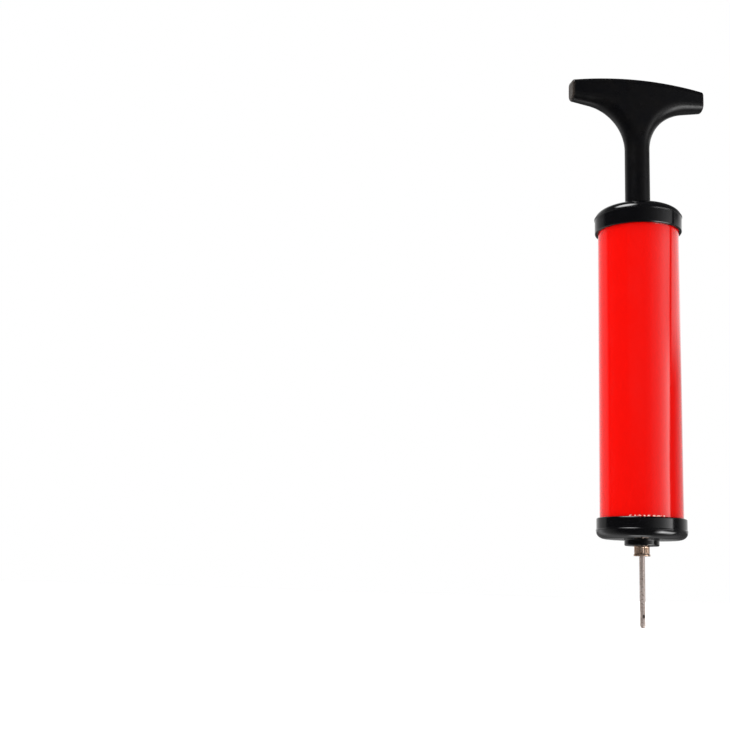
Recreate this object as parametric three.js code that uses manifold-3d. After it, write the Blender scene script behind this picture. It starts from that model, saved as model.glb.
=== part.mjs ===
// Hand pump for sports balls: a T-handled plunger in a plastic barrel, with a screw-in needle.
// Millimetres, +Z up. The origin is the tip of the needle, on the barrel's axis.
// The plunger is pushed home and the needle is screwed in.
import * as THREE from 'three';
import { mergeVertices } from 'three/addons/utils/BufferGeometryUtils.js';
import Module from 'manifold-3d';

const wasm = await Module();
wasm.setup();

// ---- Driving dimensions ----------------------------------------------------------------------

const BARREL_R = 15; // outside of the barrel tube
const BARREL_WALL = 1.5;
const ROD_R = 4.65; // rod and handle neck
const CAP_R = 16.2; // skirt of both end caps
const LEDGE_R = 16.4; // parting ledge that runs round both end caps
const FIT = 0.1; // clearance between pieces that are pressed or slid together
const REST = 0.1; // gap between faces that rest on each other
const ROD_CLEARANCE = 0.15; // round the sliding rod

// Heights, from the needle tip upwards
const COLLAR_Z = 25.6; // lower face of the needle's collar
const NOZZLE_Z = 29.2; // end face of the nozzle boss
const UNDERSIDE_Z = 31.8; // flat underside of the bottom cap
const LOW_LEDGE_Z = 34.7;
const TUBE_BOTTOM_Z = 36.4;
const LOW_SKIRT_Z = 39.0; // top edge of the bottom cap
const HIGH_SKIRT_Z = 146.8; // lower edge of the top cap
const TUBE_TOP_Z = 150.2;
const HIGH_LEDGE_Z = 152.6;
const CROWN_Z = 157.0;
const FLARE_Z = 180.3; // where the handle's neck starts to flare
const GRIP_END_Z = [198.4, 206.2]; // underside and top of the grip at its ends
const GRIP_CROWN_Z = 208.2;

// Needle and its socket
const NEEDLE_R = 1.0;
const NEEDLE_BORE_R = 0.6;
const NEEDLE_TOP_Z = 33.5;
const COLLAR_R = 2.75;
const COLLAR_LIP_R = 3.0;
const THREAD_R = 2.35; // M5 shank, drawn plain
const SHANK_TOP_Z = 35.2;
const WASHER_R = 3.6;
const INSERT_R = 4.2;
const INSERT_Z = [30.5, 37.6];
const NOZZLE_R = 6.25;

// Outlet valve
const HUB_R = 6.6; // hub that holds the brass insert inside the bottom cap
const HUB_TOP_Z = 38.2;
const CAP_FLOOR_Z = 35.2; // inside the bottom cap, round the hub
const CAP_RING_Z = 41.0; // O-ring round the bottom cap's spigot
const PLUG_BOTTOM_Z = 36.3;
const SPIGOT_R = BARREL_R - BARREL_WALL - FIT; // the caps' spigots fit inside the tube
const SPIGOT_BORE_R = 11.3;
const PLUG_TOP_Z = 45.4;
const CHAMBER_R = 3.9;
const CHAMBER_TOP_Z = 43.8;
const VALVE_PORT_R = 1.6;
const SEAT_LIP_Z = 43.3;
const POPPET_R = 3.2;
const POPPET_Z = [41.2, 42.4]; // the poppet's head
const STEM_R = 1.5;
const STEM_BOTTOM_Z = 38.8;
const SPRING_R = 2.75;
const SPRING_WIRE_R = 0.25;
const SPRING_TURNS = 4;

// Piston, from its lowest face upwards
const PISTON_R = 13.1;
const RETAINER_Z = [46.0, 50.2];
const SCREW_HEAD_Z = [46.3, 47.9];
const SCREW_WASHER_Z = [48.0, 48.6];
const GROOVE_TOP_Z = 54.4;
const GROOVE_R = 10.1; // core that the piston ring rides round
const HEAD_TOP_Z = 57.2;
const RING_SECTION_R = 1.4;
const RING_R = 12.0;
const ROD_BORE_R = 3.0;
const ROD_CORE_TOP_Z = 192;
const SCREW_R = 1.4;
const BUMP_TOP_Z = 60.4;

// Rod guide in the top cap
const GUIDE_R = 7.4;
const GUIDE_FLANGE_R = 9.2;
const GUIDE_Z = [146.6, 154.3];
const GUIDE_FLANGE = 1.5;

// T-grip
const GRIP_HALF = 26.7; // half of the grip's length
const GRIP_END_DEPTH = 3.4; // half-depth at the ends; ROD_R in the middle
const GRIP_CORNER_R = 1.2; // upright corners of the end faces
const GRIP_EDGE_R = 2.6;
const FLARE_R = 17; // concave corner between neck and grip

const FINE = 36; // sides on the large round pieces
const COARSE = 20; // sides on the small round pieces

// ---- Helpers ---------------------------------------------------------------------------------

// Points on an arc in the (radius, height) plane, angles in degrees. A stretch makes it elliptical.
function arc(centreR, centreZ, radius, from, to, steps, stretch = 1) {
  const points = [];
  for (let i = 0; i <= steps; i++) {
    const angle = THREE.MathUtils.degToRad(from + ((to - from) * i) / steps);
    points.push([centreR + radius * Math.cos(angle), centreZ + radius * stretch * Math.sin(angle)]);
  }
  return points;
}

// A solid of revolution about Z. The outline starts and ends on the axis, or closes on itself.
function turn(outline, sides = FINE) {
  const points = outline.map(([radius, height]) => new THREE.Vector2(radius, height));
  return new THREE.LatheGeometry(points, sides).rotateX(Math.PI / 2);
}

// A hollow solid of revolution. The outline runs anticlockwise in (radius, height) and is closed here.
function revolve(outline, sides = FINE) {
  return turn([...outline, outline[0]], sides);
}

// A ring with a rectangular section.
function collar(innerR, outerR, bottomZ, topZ, sides = COARSE) {
  return revolve([[innerR, bottomZ], [outerR, bottomZ], [outerR, topZ], [innerR, topZ]], sides);
}

// A ring with a round section.
function torus(ringR, sectionR, z, sides = FINE) {
  return new THREE.TorusGeometry(ringR, sectionR, 8, sides).translate(0, 0, z);
}

function toManifold(geometry) {
  const bare = geometry.clone();
  bare.deleteAttribute('normal');
  bare.deleteAttribute('uv');
  const merged = mergeVertices(bare);
  return new wasm.Manifold(new wasm.Mesh({
    numProp: 3,
    vertProperties: Float32Array.from(merged.attributes.position.array),
    triVerts: Uint32Array.from(merged.index.array),
  }));
}

function toGeometry(manifold) {
  const mesh = manifold.getMesh();
  const geometry = new THREE.BufferGeometry();
  geometry.setAttribute('position', new THREE.BufferAttribute(mesh.vertProperties, 3));
  geometry.setIndex(new THREE.BufferAttribute(mesh.triVerts, 1));
  geometry.computeVertexNormals();
  return geometry;
}

// The body less every cutter.
function cut(body, cutters) {
  return toGeometry(cutters.reduce((left, cutter) => left.subtract(toManifold(cutter)), toManifold(body)));
}

// ---- Barrel and end caps ---------------------------------------------------------------------

function barrelTube() {
  return collar(BARREL_R - BARREL_WALL, BARREL_R, TUBE_BOTTOM_Z, TUBE_TOP_Z, FINE);
}

// Rounded underside, nozzle boss, hub for the brass insert, and a spigot inside the tube.
function bottomCap() {
  const edgeR = 3.6; // rounding of the lower edge, wider than it is high
  const edgeHeight = 3;
  const slotR = BARREL_R + FIT;
  const grooveFloorR = 12.3;
  const grooveHalf = 0.8;
  return revolve([
    [WASHER_R + FIT, NOZZLE_Z],
    [NOZZLE_R - 0.4, NOZZLE_Z],
    [NOZZLE_R, NOZZLE_Z + 0.4],
    [NOZZLE_R, UNDERSIDE_Z],
    ...arc(LEDGE_R - edgeR, UNDERSIDE_Z + edgeHeight, edgeR, -90, 0, 5, edgeHeight / edgeR),
    [LEDGE_R, LOW_LEDGE_Z + 0.3],
    [CAP_R, LOW_LEDGE_Z + 0.5],
    [CAP_R, LOW_SKIRT_Z - 0.4],
    [CAP_R - 0.4, LOW_SKIRT_Z],
    [slotR, LOW_SKIRT_Z],
    [slotR, TUBE_BOTTOM_Z - REST],
    [SPIGOT_R, TUBE_BOTTOM_Z - REST],
    [SPIGOT_R, CAP_RING_Z - grooveHalf],
    [grooveFloorR, CAP_RING_Z - grooveHalf],
    [grooveFloorR, CAP_RING_Z + grooveHalf],
    [SPIGOT_R, CAP_RING_Z + grooveHalf],
    [SPIGOT_R, PLUG_TOP_Z - 0.6],
    [SPIGOT_BORE_R, PLUG_TOP_Z - 0.6],
    [SPIGOT_BORE_R, CAP_FLOOR_Z],
    [HUB_R, CAP_FLOOR_Z],
    [HUB_R, HUB_TOP_Z],
    [INSERT_R + FIT, HUB_TOP_Z],
    [INSERT_R + FIT, INSERT_Z[0] - REST],
    [WASHER_R + FIT, INSERT_Z[0] - REST],
  ]);
}

// Domed crown with the rod hole, a pocket for the rod guide, and a spigot inside the tube.
function topCap() {
  const crownFlatR = 7;
  const domeR = LEDGE_R - crownFlatR;
  const domeStretch = (CROWN_Z - HIGH_LEDGE_Z) / domeR;
  const roofZ = 152.4; // inside of the roof at the spigot
  const pocketZ = 154.5;
  const pocketWallR = 9.4;
  const slotR = BARREL_R + FIT;
  const holeR = ROD_R + 0.3;
  const spigotBottomZ = 144.2; // clear of the piston at the end of the pull
  return revolve([
    [slotR, HIGH_SKIRT_Z],
    [CAP_R - 0.4, HIGH_SKIRT_Z],
    [CAP_R, HIGH_SKIRT_Z + 0.4],
    [CAP_R, HIGH_LEDGE_Z - 0.3],
    [LEDGE_R, HIGH_LEDGE_Z - 0.1],
    ...arc(crownFlatR, HIGH_LEDGE_Z, domeR, 0, 90, 8, domeStretch),
    [holeR + 0.2, CROWN_Z],
    [holeR, CROWN_Z - 0.2],
    [holeR, pocketZ],
    [GUIDE_R + FIT, pocketZ],
    [GUIDE_R + FIT, GUIDE_Z[0] + GUIDE_FLANGE + REST],
    [pocketWallR, GUIDE_Z[0] + GUIDE_FLANGE + REST],
    [pocketWallR, roofZ + 0.8],
    [SPIGOT_BORE_R, roofZ],
    [SPIGOT_BORE_R, spigotBottomZ],
    [SPIGOT_R, spigotBottomZ],
    [SPIGOT_R, TUBE_TOP_Z + REST],
    [slotR, TUBE_TOP_Z + REST],
  ]);
}

// O-ring that seals the bottom cap's spigot against the tube.
function capORing() {
  const sectionR = 0.5;
  return torus(SPIGOT_R - sectionR, sectionR, CAP_RING_Z);
}

// Flat ring between the valve plug and the floor of the bottom cap.
function endGasket() {
  return collar(HUB_R + FIT, SPIGOT_BORE_R - FIT, CAP_FLOOR_Z + REST, PLUG_BOTTOM_Z - REST, FINE);
}

// Bush that guides the rod. Four grooves down its outside let air in behind the piston.
function rodGuideBush() {
  const bush = revolve([
    [ROD_R + ROD_CLEARANCE, GUIDE_Z[0]],
    [GUIDE_FLANGE_R, GUIDE_Z[0]],
    [GUIDE_FLANGE_R, GUIDE_Z[0] + GUIDE_FLANGE],
    [GUIDE_R, GUIDE_Z[0] + GUIDE_FLANGE],
    [GUIDE_R, GUIDE_Z[1]],
    [ROD_R + ROD_CLEARANCE, GUIDE_Z[1]],
  ]);
  const grooveDepth = 1.2;
  const grooveWidth = 1.6;
  const cutterDepth = 6;
  const height = GUIDE_Z[1] - GUIDE_Z[0];
  const grooves = [];
  for (let i = 0; i < 4; i++) {
    const groove = new THREE.BoxGeometry(cutterDepth, grooveWidth, height + 2);
    groove.translate(GUIDE_R - grooveDepth + cutterDepth / 2, 0, (GUIDE_Z[0] + GUIDE_Z[1]) / 2);
    groove.rotateZ((i * Math.PI) / 2 + Math.PI / 4);
    grooves.push(groove);
  }
  return cut(bush, grooves);
}

// ---- Outlet valve ----------------------------------------------------------------------------

// Plug in the foot of the barrel. The poppet seals against the lip round its port.
function valvePlug() {
  const plugR = SPIGOT_BORE_R - FIT;
  const coreR = [8.6, 10.0]; // annular core that lightens the moulding
  const coreTopZ = 42.6;
  const hubClearance = 0.2;
  return revolve([
    [coreR[0], PLUG_BOTTOM_Z],
    [coreR[0], coreTopZ],
    [coreR[1], coreTopZ],
    [coreR[1], PLUG_BOTTOM_Z],
    [plugR, PLUG_BOTTOM_Z],
    [plugR, PLUG_TOP_Z],
    [VALVE_PORT_R, PLUG_TOP_Z],
    [VALVE_PORT_R, SEAT_LIP_Z],
    [VALVE_PORT_R + 0.5, SEAT_LIP_Z],
    [VALVE_PORT_R + 0.5, CHAMBER_TOP_Z],
    [CHAMBER_R, CHAMBER_TOP_Z],
    [CHAMBER_R, HUB_TOP_Z + 0.3],
    [HUB_R + hubClearance, HUB_TOP_Z + 0.3],
    [HUB_R + hubClearance, PLUG_BOTTOM_Z],
  ]);
}

// Head and guide stem. The stem stands inside the spring.
function valvePoppet() {
  return turn([
    [0, STEM_BOTTOM_Z],
    [STEM_R - 0.3, STEM_BOTTOM_Z],
    [STEM_R, STEM_BOTTOM_Z + 0.3],
    [STEM_R, POPPET_Z[0]],
    [POPPET_R, POPPET_Z[0]],
    [POPPET_R, POPPET_Z[1]],
    [0, POPPET_Z[1]],
  ], COARSE);
}

// Rubber facing on the poppet.
function poppetSeal() {
  const bottomZ = POPPET_Z[1] + REST;
  const topZ = SEAT_LIP_Z - REST;
  const facingR = 2.8;
  return new THREE.CylinderGeometry(facingR, facingR, topZ - bottomZ, COARSE)
    .rotateX(Math.PI / 2)
    .translate(0, 0, (bottomZ + topZ) / 2);
}

class Helix extends THREE.Curve {
  constructor(radius, bottomZ, topZ, turns) {
    super();
    Object.assign(this, { radius, bottomZ, topZ, turns });
  }

  getPoint(t, target = new THREE.Vector3()) {
    const angle = 2 * Math.PI * this.turns * t;
    const height = THREE.MathUtils.lerp(this.bottomZ, this.topZ, t);
    return target.set(this.radius * Math.cos(angle), this.radius * Math.sin(angle), height);
  }
}

function roundSection(radius, sides) {
  const shape = new THREE.Shape();
  for (let i = 0; i < sides; i++) {
    const angle = (2 * Math.PI * i) / sides;
    const x = radius * Math.cos(angle);
    const y = radius * Math.sin(angle);
    if (i === 0) shape.moveTo(x, y);
    else shape.lineTo(x, y);
  }
  return shape;
}

function valveSpring() {
  const bottomZ = INSERT_Z[1] + REST + SPRING_WIRE_R;
  const topZ = POPPET_Z[0] - REST - SPRING_WIRE_R;
  return new THREE.ExtrudeGeometry(roundSection(SPRING_WIRE_R, 6), {
    steps: 16 * SPRING_TURNS,
    extrudePath: new Helix(SPRING_R, bottomZ, topZ, SPRING_TURNS),
  });
}

// ---- Needle ----------------------------------------------------------------------------------

// Brass socket for the needle's thread, with a groove that locks it in the moulding.
function needleInsert() {
  const middleZ = (INSERT_Z[0] + INSERT_Z[1]) / 2;
  const grooveHalf = 0.6;
  const grooveR = INSERT_R - 0.5;
  return revolve([
    [THREAD_R + FIT, INSERT_Z[0]],
    [INSERT_R, INSERT_Z[0]],
    [INSERT_R, middleZ - grooveHalf],
    [grooveR, middleZ - grooveHalf],
    [grooveR, middleZ + grooveHalf],
    [INSERT_R, middleZ + grooveHalf],
    [INSERT_R, INSERT_Z[1]],
    [THREAD_R + FIT, INSERT_Z[1]],
  ], COARSE);
}

function needleWasher() {
  return collar(THREAD_R + FIT, WASHER_R, NOZZLE_Z + REST, INSERT_Z[0] - 0.2);
}

// Knurled collar and threaded shank, bored for the needle tube and drilled through above it.
function needleBase() {
  const blindZ = NEEDLE_TOP_Z + REST;
  const knurlBottomZ = COLLAR_Z + 0.8;
  const base = revolve([
    [NEEDLE_R + FIT, COLLAR_Z],
    [COLLAR_LIP_R, COLLAR_Z],
    [COLLAR_LIP_R, COLLAR_Z + 0.5],
    [COLLAR_R, knurlBottomZ],
    [COLLAR_R, NOZZLE_Z],
    [THREAD_R, NOZZLE_Z],
    [THREAD_R, SHANK_TOP_Z - 0.4],
    [THREAD_R - 0.4, SHANK_TOP_Z],
    [NEEDLE_BORE_R, SHANK_TOP_Z],
    [NEEDLE_BORE_R, blindZ],
    [NEEDLE_R + FIT, blindZ],
  ], COARSE);
  const knurls = 14;
  const knurlSide = 0.5;
  const knurlLength = 2.0;
  const grooves = [];
  for (let i = 0; i < knurls; i++) {
    const groove = new THREE.BoxGeometry(knurlSide, knurlSide, knurlLength);
    groove.rotateZ(Math.PI / 4);
    groove.translate(COLLAR_R + 0.1, 0, (knurlBottomZ + NOZZLE_Z) / 2);
    groove.rotateZ((2 * Math.PI * (i + 0.5)) / knurls);
    grooves.push(groove);
  }
  return cut(base, grooves);
}

// Steel tube with a rounded, closed tip and one side port just above it.
function needleTube() {
  const boreBottomZ = 2.4;
  const portR = 0.45;
  const portZ = 4.2;
  const tube = turn([
    [0, 0],
    ...arc(0, NEEDLE_R, NEEDLE_R, -72, 0, 4),
    [NEEDLE_R, NEEDLE_TOP_Z],
    [NEEDLE_BORE_R, NEEDLE_TOP_Z],
    [NEEDLE_BORE_R, boreBottomZ],
    [0, boreBottomZ],
  ], COARSE);
  const port = new THREE.CylinderGeometry(portR, portR, 2 * NEEDLE_R, 12).translate(0, -NEEDLE_R, portZ);
  return cut(tube, [port]);
}

// ---- Plunger ---------------------------------------------------------------------------------

// Front outline of the grip in (x, z): arched top, undersides that curve down towards the neck.
function gripOutline() {
  const [endBottomZ, endTopZ] = GRIP_END_Z;
  const centreX = ROD_R + FLARE_R;
  const slope = THREE.MathUtils.degToRad(9); // rise of the underside towards the ends
  const footX = 10.3; // half-width at the foot, where the round neck takes over
  const footAngle = Math.acos((footX - centreX) / FLARE_R);
  const footZ = FLARE_Z + FLARE_R * Math.sin(footAngle);
  const outline = new THREE.Shape();
  outline.moveTo(-footX, footZ);
  outline.lineTo(footX, footZ);
  outline.absarc(centreX, FLARE_Z, FLARE_R, footAngle, Math.PI / 2 + slope, true);
  outline.lineTo(GRIP_HALF, endBottomZ);
  outline.lineTo(GRIP_HALF, endTopZ);
  outline.quadraticCurveTo(0, 2 * GRIP_CROWN_Z - endTopZ, -GRIP_HALF, endTopZ);
  outline.lineTo(-GRIP_HALF, endBottomZ);
  outline.absarc(-centreX, FLARE_Z, FLARE_R, Math.PI / 2 - slope, Math.PI - footAngle, true);
  return outline;
}

// Outline of the grip from above: deepest over the rod, with flat ends and rounded corners.
function gripPlan() {
  const plan = new THREE.Shape();
  const cornerX = GRIP_HALF - GRIP_CORNER_R;
  const cornerY = GRIP_END_DEPTH - GRIP_CORNER_R;
  const bow = 2 * ROD_R - GRIP_END_DEPTH;
  plan.moveTo(-cornerX, -GRIP_END_DEPTH);
  plan.quadraticCurveTo(0, -bow, cornerX, -GRIP_END_DEPTH);
  plan.absarc(cornerX, -cornerY, GRIP_CORNER_R, -Math.PI / 2, 0, false);
  plan.absarc(cornerX, cornerY, GRIP_CORNER_R, 0, Math.PI / 2, false);
  plan.quadraticCurveTo(0, bow, -cornerX, GRIP_END_DEPTH);
  plan.absarc(-cornerX, cornerY, GRIP_CORNER_R, Math.PI / 2, Math.PI, false);
  plan.absarc(-cornerX, -cornerY, GRIP_CORNER_R, Math.PI, (3 * Math.PI) / 2, false);
  return plan;
}

// The grip as a flat moulding with rounded edges.
function gripPlate() {
  const plate = new THREE.ExtrudeGeometry(gripOutline(), {
    depth: 2 * (ROD_R - GRIP_EDGE_R),
    curveSegments: 10,
    bevelThickness: GRIP_EDGE_R,
    bevelSize: GRIP_EDGE_R,
    bevelOffset: -GRIP_EDGE_R,
    bevelSegments: 4,
  });
  plate.translate(0, 0, GRIP_EDGE_R - ROD_R);
  return toManifold(plate.rotateX(Math.PI / 2));
}

// Round neck that flares like a trumpet up into the grip.
function neckFlare() {
  const topDegrees = 120;
  const topZ = FLARE_Z + FLARE_R * Math.sin(THREE.MathUtils.degToRad(topDegrees));
  return toManifold(turn([
    [0, FLARE_Z - 1],
    [ROD_R, FLARE_Z - 1],
    ...arc(ROD_R + FLARE_R, FLARE_Z, FLARE_R, 180, topDegrees, 8),
    [0, topZ],
  ]));
}

// Grip, neck and rod are one moulding. The rod is cored from its lower end.
function handleAndRod() {
  const planOptions = { depth: 40, curveSegments: 12, bevelEnabled: false };
  const planSolid = new THREE.ExtrudeGeometry(gripPlan(), planOptions).translate(0, 0, FLARE_Z - 10);
  const grip = gripPlate().add(neckFlare()).intersect(toManifold(planSolid));
  const rodBottomZ = HEAD_TOP_Z + REST;
  const rodLength = FLARE_Z + 2 - rodBottomZ;
  const rod = new THREE.CylinderGeometry(ROD_R, ROD_R, rodLength, FINE).rotateX(Math.PI / 2);
  rod.translate(0, 0, rodBottomZ + rodLength / 2);
  const coreLength = ROD_CORE_TOP_Z - rodBottomZ + 2;
  const core = new THREE.CylinderGeometry(ROD_BORE_R, ROD_BORE_R, coreLength, COARSE).rotateX(Math.PI / 2);
  core.translate(0, 0, rodBottomZ - 2 + coreLength / 2);
  return toGeometry(grip.add(toManifold(rod)).subtract(toManifold(core)));
}

// Upper flange, ring core and the spigot that is pressed into the rod, with a pilot hole below.
function pistonHead() {
  const pilotTopZ = 61;
  const spigotTopZ = 66;
  return turn([
    [SCREW_R + FIT, RETAINER_Z[1] + REST],
    [GROOVE_R, RETAINER_Z[1] + REST],
    [GROOVE_R, GROOVE_TOP_Z],
    [PISTON_R, GROOVE_TOP_Z],
    [PISTON_R, HEAD_TOP_Z - 0.5],
    [PISTON_R - 0.5, HEAD_TOP_Z],
    [ROD_BORE_R - FIT, HEAD_TOP_Z],
    [ROD_BORE_R - FIT, spigotTopZ],
    [0, spigotTopZ],
    [0, pilotTopZ],
    [SCREW_R + FIT, pilotTopZ],
    [SCREW_R + FIT, RETAINER_Z[1] + REST],
  ]);
}

// Lower flange. Notches round its edge let air past the ring on the return stroke.
function pistonRetainer() {
  const [bottomZ, topZ] = RETAINER_Z;
  const recessR = 4.1; // for the screw head and washer
  const recessTopZ = SCREW_WASHER_Z[1] + REST;
  const notchDepth = 2;
  const notchWidth = 3;
  const retainer = revolve([
    [recessR, bottomZ],
    [PISTON_R - 0.5, bottomZ],
    [PISTON_R, bottomZ + 0.5],
    [PISTON_R, topZ],
    [SCREW_R + FIT, topZ],
    [SCREW_R + FIT, recessTopZ],
    [recessR, recessTopZ],
  ]);
  const notches = [];
  for (let i = 0; i < 6; i++) {
    const notch = new THREE.BoxGeometry(2 * notchDepth, notchWidth, topZ - bottomZ + 2);
    notch.translate(PISTON_R, 0, (bottomZ + topZ) / 2);
    notch.rotateZ((i * Math.PI) / 3);
    notches.push(notch);
  }
  return cut(retainer, notches);
}

// The ring floats between the flanges, so it seals on the push and leaks on the pull.
function pistonORing() {
  return torus(RING_R, RING_SECTION_R, RETAINER_Z[1] + REST + RING_SECTION_R);
}

function pistonWasher() {
  const washerR = 3.7;
  return collar(SCREW_R + FIT, washerR, ...SCREW_WASHER_Z);
}

// Pan head screw with a cross recess, seen from below.
function pistonScrew() {
  const tipZ = 60.5;
  const headR = 2.8;
  const [headZ, neckZ] = SCREW_HEAD_Z;
  const screw = turn([
    [0, headZ],
    [headR - 0.5, headZ],
    [headR, headZ + 0.6],
    [headR, neckZ],
    [SCREW_R, neckZ],
    [SCREW_R, tipZ - 1],
    [0, tipZ],
  ], COARSE);
  const [slotLength, slotWidth, slotDepth] = [3.0, 0.6, 1.0];
  const slotA = new THREE.BoxGeometry(slotLength, slotWidth, 2 * slotDepth).translate(0, 0, headZ);
  const slotB = new THREE.BoxGeometry(slotWidth, slotLength, 2 * slotDepth).translate(0, 0, headZ);
  return cut(screw, [slotA, slotB]);
}

// Rubber ring that cushions the piston at the end of the pull.
function bumpRing() {
  const bottomZ = HEAD_TOP_Z + REST;
  const outerR = 8.0;
  const chamfer = 0.4;
  return revolve([
    [ROD_R + ROD_CLEARANCE, bottomZ],
    [outerR - chamfer, bottomZ],
    [outerR, bottomZ + chamfer],
    [outerR, BUMP_TOP_Z - chamfer],
    [outerR - chamfer, BUMP_TOP_Z],
    [ROD_R + ROD_CLEARANCE, BUMP_TOP_Z],
  ]);
}

// ---- Assembly --------------------------------------------------------------------------------

const FINISHES = {
  redPlastic: { color: 0xd8190f, roughness: 0.18, metalness: 0 },
  blackGloss: { color: 0x0b0b0d, roughness: 0.15, metalness: 0 },
  blackSatin: { color: 0x151619, roughness: 0.42, metalness: 0 },
  rubber: { color: 0x101010, roughness: 0.8, metalness: 0 },
  naturalNylon: { color: 0xd9d4c5, roughness: 0.5, metalness: 0 },
  nickel: { color: 0xb8b2a8, roughness: 0.25, metalness: 1 },
  brass: { color: 0xb08b45, roughness: 0.3, metalness: 1 },
  steel: { color: 0xa9abad, roughness: 0.3, metalness: 1 },
};

const PIECES = [
  ['barrel_tube', barrelTube, 'redPlastic'],
  ['top_cap', topCap, 'blackGloss'],
  ['rod_guide_bush', rodGuideBush, 'naturalNylon'],
  ['bottom_cap', bottomCap, 'blackGloss'],
  ['cap_o_ring', capORing, 'rubber'],
  ['end_gasket', endGasket, 'rubber'],
  ['needle_insert', needleInsert, 'brass'],
  ['valve_plug', valvePlug, 'naturalNylon'],
  ['valve_poppet', valvePoppet, 'naturalNylon'],
  ['poppet_seal', poppetSeal, 'rubber'],
  ['valve_spring', valveSpring, 'steel'],
  ['needle_washer', needleWasher, 'rubber'],
  ['needle_base', needleBase, 'nickel'],
  ['needle_tube', needleTube, 'nickel'],
  ['handle_and_rod', handleAndRod, 'blackSatin'],
  ['piston_head', pistonHead, 'naturalNylon'],
  ['piston_retainer', pistonRetainer, 'naturalNylon'],
  ['piston_o_ring', pistonORing, 'rubber'],
  ['piston_washer', pistonWasher, 'steel'],
  ['piston_screw', pistonScrew, 'steel'],
  ['bump_ring', bumpRing, 'rubber'],
];

const pump = new THREE.Group();
for (const [name, build, finish] of PIECES) {
  const mesh = new THREE.Mesh(build(), new THREE.MeshStandardMaterial(FINISHES[finish]));
  mesh.name = name;
  pump.add(mesh);
}

export default pump;
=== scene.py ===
"""Ball inflation pump: fine surfaces, finishes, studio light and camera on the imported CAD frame.

Outlines are in millimetres as (radius, height), and meshes are made in metres in the row frame.
"""
import math

import bmesh
import bpy
import numpy as np
from mathutils import Euler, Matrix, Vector


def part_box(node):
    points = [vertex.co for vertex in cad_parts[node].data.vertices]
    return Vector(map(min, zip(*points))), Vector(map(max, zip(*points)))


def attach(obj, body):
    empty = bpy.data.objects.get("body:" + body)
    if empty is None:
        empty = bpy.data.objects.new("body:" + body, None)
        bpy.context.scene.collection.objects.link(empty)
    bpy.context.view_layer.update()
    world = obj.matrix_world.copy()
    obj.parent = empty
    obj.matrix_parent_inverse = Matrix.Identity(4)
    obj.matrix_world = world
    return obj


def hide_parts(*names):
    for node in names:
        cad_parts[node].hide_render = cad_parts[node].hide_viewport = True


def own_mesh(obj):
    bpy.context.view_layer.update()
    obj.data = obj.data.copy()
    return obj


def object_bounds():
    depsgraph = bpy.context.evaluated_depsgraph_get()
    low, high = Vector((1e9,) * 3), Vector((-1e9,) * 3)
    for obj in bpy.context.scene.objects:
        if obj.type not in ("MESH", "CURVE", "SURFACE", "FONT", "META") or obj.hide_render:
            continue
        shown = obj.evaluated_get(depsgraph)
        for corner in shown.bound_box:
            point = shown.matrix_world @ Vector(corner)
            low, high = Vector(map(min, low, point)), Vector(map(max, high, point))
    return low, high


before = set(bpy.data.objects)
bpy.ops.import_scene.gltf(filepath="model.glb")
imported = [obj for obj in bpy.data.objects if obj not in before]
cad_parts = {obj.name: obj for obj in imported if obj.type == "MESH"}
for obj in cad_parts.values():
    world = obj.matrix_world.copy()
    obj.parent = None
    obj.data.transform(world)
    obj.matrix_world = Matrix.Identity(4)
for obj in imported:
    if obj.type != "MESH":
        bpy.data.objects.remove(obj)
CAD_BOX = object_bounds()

MM = 0.001


# ---- Sizes read from the frame, in millimetres -------------------------------------------------

def low(node):
    """Height of a node's lowest point."""
    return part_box(node)[0].z / MM


def high(node):
    """Height of a node's highest point."""
    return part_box(node)[1].z / MM


def radius(node):
    """Outer radius of a round node."""
    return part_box(node)[1].x / MM


def extent(node):
    """Lowest point, highest point and outer radius of a round node."""
    return low(node), high(node), radius(node)


ROD_R = 4.65  # rod and neck of the handle
TUBE_WALL = 1.5
FIT = 0.1  # clearance between pieces that fit together
SKIRT_R = 16.2  # end caps, where they grip the tube
BOTTOM_SKIRT = 9.8  # top of the bottom cap's skirt, above the face of its nozzle
SPIGOT_BORE_R = 11.3  # inside the spigots of both end caps
THREAD_PITCH = 0.8
THREAD_R = 2.35
NEEDLE_BORE_R = 0.6
SCREW_R = 1.4


# ---- Mesh helpers ------------------------------------------------------------------------------

ON_AXIS = 1e-6  # points with a smaller radius lie on the axis
ROUNDING_SHARE = 0.48  # most of a stretch that the rounding of a corner may take
SUPPORT = 0.08  # distance from a rounding to the point that supports the straight stretch
SUPPORT_SHARE = 0.02  # most of a stretch that this distance may take


def rounded(corners, closed=True, steps=4):
    """Corners are (radius, height) or (radius, height, rounding); each rounding becomes an arc.

    A point just outside each end of an arc keeps the shading of the straight stretches flat.
    """
    def support(place, stretch):
        return place + stretch.normalized() * min(SUPPORT, SUPPORT_SHARE * stretch.length)

    count = len(corners)
    points = []
    for i, corner in enumerate(corners):
        here = Vector(corner[:2])
        if len(corner) < 3 or (not closed and i in (0, count - 1)):
            points.append(here)
            continue
        back = Vector(corners[i - 1][:2]) - here
        ahead = Vector(corners[(i + 1) % count][:2]) - here
        half = back.angle(ahead) / 2
        longest = ROUNDING_SHARE * min(back.length, ahead.length)
        reach = min(corner[2] / math.tan(half), longest)
        start = here + back.normalized() * reach
        end = here + ahead.normalized() * reach
        inwards = (back.normalized() + ahead.normalized()).normalized()
        centre = here + inwards * reach / math.cos(half)
        points.append(support(start, back))
        for step in range(steps + 1):
            share = step / steps
            spoke = (start - centre) * (1 - share) + (end - centre) * share
            points.append(centre + spoke.normalized() * (start - centre).length)
        points.append(support(end, ahead))
    return points


def arc(centre_r, centre_z, size_r, size_z, start, end, steps):
    """Points on an elliptical arc, with angles in degrees."""
    angles = [math.radians(start + (end - start) * i / steps) for i in range(steps + 1)]
    return [(centre_r + size_r * math.cos(a), centre_z + size_z * math.sin(a)) for a in angles]


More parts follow.
